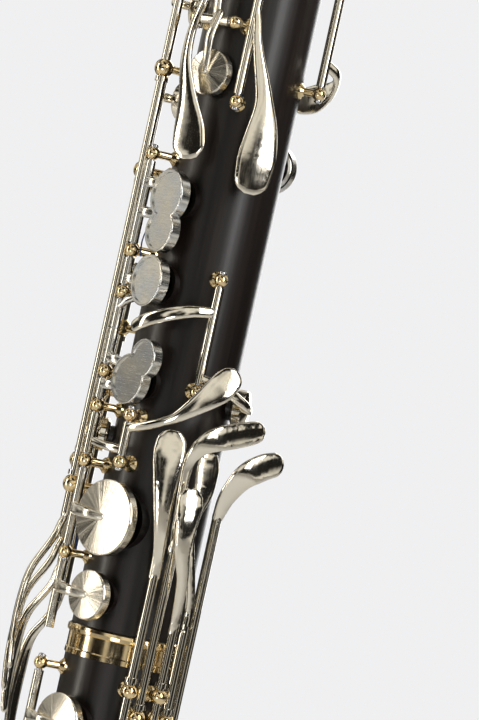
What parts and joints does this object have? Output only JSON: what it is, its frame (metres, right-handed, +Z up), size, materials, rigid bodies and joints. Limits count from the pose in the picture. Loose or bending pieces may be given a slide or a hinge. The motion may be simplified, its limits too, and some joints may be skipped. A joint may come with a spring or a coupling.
{
  "type": "bass clarinet",
  "caption": "Bass clarinet with wooden joints, metal neck and upturned bell, working keywork on ball posts, and a sliding floor peg.",
  "frame": {"origin": "centre of the floor peg's foot, on the floor", "axes": "+Z up along the body, -Y to the front where the fingers close the plates, +X to the player's left hand side"},
  "size_m": [0.1264, 0.4098, 1.1296],
  "materials": {
    "grenadilla": "oiled satin",
    "cork": "matt cork",
    "hard_rubber": "polished hard rubber",
    "cane": "satin cane",
    "leather_pad": "felt and leather",
    "post_metal": "polished plate, warm",
    "steel": "polished steel",
    "peg_rubber": "moulded rubber",
    "silver_plate": "polished silver plate"
  },
  "bodies": {
    "root": {"bell_bow": "silver_plate", "bell_flare": "silver_plate", "corks": "cork", "hinge_rods_lower": "steel", "hinge_rods_upper": "steel", "joint_rings": "silver_plate", "ligature": "silver_plate", "ligature_screws": "silver_plate", "lower_joint": "grenadilla", "mouthpiece": "hard_rubber", "neck": "silver_plate", "neck_vent_posts": "post_metal", "peg_holder": "silver_plate", "posts_lower": "post_metal", "posts_upper": "post_metal", "reed": "cane", "strap_ring": "silver_plate", "thumb_rest": "silver_plate", "upper_joint": "grenadilla"},
    "lh1_plate_key": {"lh1_plate_key": "silver_plate", "lh1_pad": "leather_pad"},
    "lh2_plate_key": {"lh2_plate_key": "silver_plate", "lh2_pad": "leather_pad"},
    "lh3_plate_key": {"lh3_plate_key": "silver_plate", "lh3_pad": "leather_pad"},
    "rh1_plate_key": {"rh1_plate_key": "silver_plate"},
    "rh2_plate_key": {"rh2_plate_key": "silver_plate"},
    "rh3_plate_key": {"rh3_plate_key": "silver_plate"},
    "lh_resonance_key": {"lh_resonance_key": "silver_plate", "lh_resonance_pad": "leather_pad"},
    "bridge_key": {"bridge_key": "silver_plate", "bridge_pad": "leather_pad"},
    "rh_resonance_key": {"rh_resonance_key": "silver_plate", "rh_resonance_pad": "leather_pad"},
    "c_sharp_touch": {"c_sharp_touch": "silver_plate"},
    "c_sharp_pad_key": {"c_sharp_pad_key": "silver_plate"},
    "sliver_key": {"sliver_key": "silver_plate"},
    "throat_g_sharp_key": {"throat_g_sharp_key": "silver_plate"},
    "throat_a_lower_key": {"throat_a_lower_key": "silver_plate"},
    "throat_a_key": {"throat_a_key": "silver_plate"},
    "thumb_key": {"thumb_key": "silver_plate"},
    "register_key": {"register_key": "silver_plate"},
    "neck_vent_key": {"neck_vent_key": "silver_plate"},
    "side_key_4": {"side_key_4": "silver_plate"},
    "side_key_3": {"side_key_3": "silver_plate"},
    "side_key_2": {"side_key_2": "silver_plate"},
    "side_key_1": {"side_key_1": "silver_plate"},
    "f_sharp_key": {"f_sharp_key": "silver_plate"},
    "a_flat_key": {"a_flat_key": "silver_plate"},
    "f_key": {"f_key": "silver_plate"},
    "e_key": {"e_key": "silver_plate"},
    "low_e_flat_key": {"low_e_flat_key": "silver_plate"},
    "left_c_sharp_lever": {"left_c_sharp_lever": "silver_plate"},
    "left_f_lever": {"left_f_lever": "silver_plate"},
    "left_b_lever": {"left_b_lever": "silver_plate"},
    "left_e_lever": {"left_e_lever": "silver_plate"},
    "left_e_flat_lever": {"left_e_flat_lever": "silver_plate"},
    "peg": {"peg_rod": "steel", "peg_tip": "peg_rubber"},
    "peg_screw": {"peg_thumb_screw": "steel"}
  },
  "joints": [
    {"name": "lh1_plate_key_pivot", "type": "hinge", "parent": "root", "child": "lh1_plate_key", "pos_m": [-0.01269, -0.04927, 0.65], "axis": [0, 0, 1], "range_deg": [0, 12], "stiffness_Nm_per_rad": 0.02, "springref_deg": -6},
    {"name": "lh2_plate_key_pivot", "type": "hinge", "parent": "root", "child": "lh2_plate_key", "pos_m": [-0.01269, -0.04927, 0.65], "axis": [0, 0, 1], "range_deg": [0, 12], "stiffness_Nm_per_rad": 0.02, "springref_deg": -6},
    {"name": "lh3_plate_key_pivot", "type": "hinge", "parent": "root", "child": "lh3_plate_key", "pos_m": [-0.01269, -0.04927, 0.65], "axis": [0, 0, 1], "range_deg": [0, 12], "stiffness_Nm_per_rad": 0.02, "springref_deg": -6},
    {"name": "rh1_plate_key_pivot", "type": "hinge", "parent": "root", "child": "rh1_plate_key", "pos_m": [-0.01269, -0.04927, 0.65], "axis": [0, 0, 1], "range_deg": [0, 12], "stiffness_Nm_per_rad": 0.02, "springref_deg": -6},
    {"name": "rh2_plate_key_pivot", "type": "hinge", "parent": "root", "child": "rh2_plate_key", "pos_m": [-0.01269, -0.04927, 0.65], "axis": [0, 0, 1], "range_deg": [0, 12], "stiffness_Nm_per_rad": 0.02, "springref_deg": -6},
    {"name": "rh3_plate_key_pivot", "type": "hinge", "parent": "root", "child": "rh3_plate_key", "pos_m": [-0.01269, -0.04927, 0.65], "axis": [0, 0, 1], "range_deg": [0, 12], "stiffness_Nm_per_rad": 0.02, "springref_deg": -6},
    {"name": "lh_resonance_key_pivot", "type": "hinge", "parent": "root", "child": "lh_resonance_key", "pos_m": [-0.01269, -0.04927, 0.65], "axis": [0, 0, 1], "range_deg": [0, 9.5], "stiffness_Nm_per_rad": 0.02, "springref_deg": -6},
    {"name": "bridge_key_pivot", "type": "hinge", "parent": "root", "child": "bridge_key", "pos_m": [-0.01269, -0.04927, 0.65], "axis": [0, 0, 1], "range_deg": [0, 9.5], "stiffness_Nm_per_rad": 0.02, "springref_deg": -6},
    {"name": "rh_resonance_key_pivot", "type": "hinge", "parent": "root", "child": "rh_resonance_key", "pos_m": [-0.01269, -0.04927, 0.65], "axis": [0, 0, 1], "range_deg": [0, 9.5], "stiffness_Nm_per_rad": 0.02, "springref_deg": -6},
    {"name": "c_sharp_touch_pivot", "type": "hinge", "parent": "root", "child": "c_sharp_touch", "pos_m": [0.00391, -0.05069, 0.65], "axis": [0, 0, 1], "range_deg": [0, 6], "stiffness_Nm_per_rad": 0.02, "springref_deg": -6},
    {"name": "c_sharp_pad_key_pivot", "type": "hinge", "parent": "root", "child": "c_sharp_pad_key", "pos_m": [-0.01269, -0.04927, 0.65], "axis": [0, 0, 1], "range_deg": [0, 8], "stiffness_Nm_per_rad": 0.02, "springref_deg": -6},
    {"name": "sliver_key_pivot", "type": "hinge", "parent": "root", "child": "sliver_key", "pos_m": [0.0199, -0.03942, 0.65], "axis": [0, 0, 1], "range_deg": [-6, 0], "stiffness_Nm_per_rad": 0.02, "springref_deg": 6},
    {"name": "throat_g_sharp_key_pivot", "type": "hinge", "parent": "root", "child": "throat_g_sharp_key", "pos_m": [0.01468, -0.04499, 0.65], "axis": [0, 0, 1], "range_deg": [0, 6], "stiffness_Nm_per_rad": 0.02, "springref_deg": -6},
    {"name": "throat_a_lower_key_pivot", "type": "hinge", "parent": "root", "child": "throat_a_lower_key", "pos_m": [0.00225, -0.04939, 0.8515], "axis": [0.9954, 0.0958, 0], "range_deg": [-4, 0], "stiffness_Nm_per_rad": 0.02, "springref_deg": 6},
    {"name": "throat_a_key_pivot", "type": "hinge", "parent": "root", "child": "throat_a_key", "pos_m": [0.00235, -0.05039, 0.874], "axis": [0.9954, 0.0958, 0], "range_deg": [0, 2.6], "stiffness_Nm_per_rad": 0.02, "springref_deg": -6},
    {"name": "thumb_key_pivot", "type": "hinge", "parent": "root", "child": "thumb_key", "pos_m": [-0.01378, -0.00395, 0.65], "axis": [0, 0, 1], "range_deg": [-10, 0], "stiffness_Nm_per_rad": 0.02, "springref_deg": 6},
    {"name": "register_key_pivot", "type": "hinge", "parent": "root", "child": "register_key", "pos_m": [0.02364, -0.01645, 0.65], "axis": [0, 0, 1], "range_deg": [0, 6], "stiffness_Nm_per_rad": 0.02, "springref_deg": -6},
    {"name": "neck_vent_key_pivot", "type": "hinge", "parent": "root", "child": "neck_vent_key", "pos_m": [0, 0.01153, 1.11248], "axis": [1, 0, 0], "range_deg": [-6, 0], "stiffness_Nm_per_rad": 0.02, "springref_deg": 6},
    {"name": "side_key_4_pivot", "type": "hinge", "parent": "root", "child": "side_key_4", "pos_m": [-0.01781, -0.04761, 0.65], "axis": [0, 0, 1], "range_deg": [0, 9], "stiffness_Nm_per_rad": 0.02, "springref_deg": -6},
    {"name": "side_key_3_pivot", "type": "hinge", "parent": "root", "child": "side_key_3", "pos_m": [-0.02167, -0.04293, 0.65], "axis": [0, 0, 1], "range_deg": [0, 9], "stiffness_Nm_per_rad": 0.02, "springref_deg": -6},
    {"name": "side_key_2_pivot", "type": "hinge", "parent": "root", "child": "side_key_2", "pos_m": [-0.02437, -0.03762, 0.65], "axis": [0, 0, 1], "range_deg": [0, 9], "stiffness_Nm_per_rad": 0.02, "springref_deg": -6},
    {"name": "side_key_1_pivot", "type": "hinge", "parent": "root", "child": "side_key_1", "pos_m": [-0.02631, -0.03207, 0.65], "axis": [0, 0, 1], "range_deg": [0, 9], "stiffness_Nm_per_rad": 0.02, "springref_deg": -6},
    {"name": "f_sharp_key_pivot", "type": "hinge", "parent": "root", "child": "f_sharp_key", "pos_m": [-0.01404, -0.04847, 0.65], "axis": [0, 0, 1], "range_deg": [0, 9.5], "stiffness_Nm_per_rad": 0.02, "springref_deg": -6},
    {"name": "a_flat_key_pivot", "type": "hinge", "parent": "root", "child": "a_flat_key", "pos_m": [-0.01841, -0.04506, 0.65], "axis": [0, 0, 1], "range_deg": [-8, 0], "stiffness_Nm_per_rad": 0.02, "springref_deg": 6},
    {"name": "f_key_pivot", "type": "hinge", "parent": "root", "child": "f_key", "pos_m": [-0.02197, -0.04082, 0.65], "axis": [0, 0, 1], "range_deg": [0, 9.5], "stiffness_Nm_per_rad": 0.02, "springref_deg": -6},
    {"name": "e_key_pivot", "type": "hinge", "parent": "root", "child": "e_key", "pos_m": [-0.02457, -0.03593, 0.65], "axis": [0, 0, 1], "range_deg": [0, 9.5], "stiffness_Nm_per_rad": 0.02, "springref_deg": -6},
    {"name": "low_e_flat_key_pivot", "type": "hinge", "parent": "root", "child": "low_e_flat_key", "pos_m": [-0.0261, -0.0306, 0.65], "axis": [0, 0, 1], "range_deg": [0, 9.5], "stiffness_Nm_per_rad": 0.02, "springref_deg": -6},
    {"name": "left_c_sharp_lever_pivot", "type": "hinge", "parent": "root", "child": "left_c_sharp_lever", "pos_m": [0.0197, -0.04005, 0.65], "axis": [0, 0, 1], "range_deg": [-4, 0], "stiffness_Nm_per_rad": 0.02, "springref_deg": 6},
    {"name": "left_f_lever_pivot", "type": "hinge", "parent": "root", "child": "left_f_lever", "pos_m": [0.02193, -0.03623, 0.65], "axis": [0, 0, 1], "range_deg": [0, 4], "stiffness_Nm_per_rad": 0.02, "springref_deg": -6},
    {"name": "left_b_lever_pivot", "type": "hinge", "parent": "root", "child": "left_b_lever", "pos_m": [0.02383, -0.0302, 0.65], "axis": [0, 0, 1], "range_deg": [-4, 0], "stiffness_Nm_per_rad": 0.02, "springref_deg": 6},
    {"name": "left_e_lever_pivot", "type": "hinge", "parent": "root", "child": "left_e_lever", "pos_m": [0.02419, -0.02516, 0.65], "axis": [0, 0, 1], "range_deg": [-4, 0], "stiffness_Nm_per_rad": 0.02, "springref_deg": 6},
    {"name": "left_e_flat_lever_pivot", "type": "hinge", "parent": "root", "child": "left_e_flat_lever", "pos_m": [0.02363, -0.02076, 0.65], "axis": [0, 0, 1], "range_deg": [0, 4], "stiffness_Nm_per_rad": 0.02, "springref_deg": -6},
    {"name": "peg_slide", "type": "slide", "parent": "root", "child": "peg", "axis": [0, 0, 1], "range_m": [0, 0.08]},
    {"name": "peg_screw_turn", "type": "hinge", "parent": "root", "child": "peg_screw", "pos_m": [0, 0, 0.212], "axis": [1, 0, 0], "range_deg": [-90, 90]}
  ],
  "couplings": [
    {"joint": "lh_resonance_key_pivot", "follows": "lh3_plate_key_pivot", "ratio": 0.79},
    {"joint": "bridge_key_pivot", "follows": "rh1_plate_key_pivot", "ratio": 0.79},
    {"joint": "rh_resonance_key_pivot", "follows": "rh1_plate_key_pivot", "ratio": 0.79},
    {"joint": "c_sharp_pad_key_pivot", "follows": "c_sharp_touch_pivot", "ratio": 1.3},
    {"joint": "throat_a_lower_key_pivot", "follows": "throat_a_key_pivot", "ratio": -1.5},
    {"joint": "neck_vent_key_pivot", "follows": "register_key_pivot", "ratio": -1},
    {"joint": "left_c_sharp_lever_pivot", "follows": "f_sharp_key_pivot", "ratio": -0.42},
    {"joint": "left_f_lever_pivot", "follows": "a_flat_key_pivot", "ratio": -0.5},
    {"joint": "left_b_lever_pivot", "follows": "f_key_pivot", "ratio": -0.42},
    {"joint": "left_e_lever_pivot", "follows": "e_key_pivot", "ratio": -0.42},
    {"joint": "left_e_flat_lever_pivot", "follows": "low_e_flat_key_pivot", "ratio": 0.42}
  ]
}
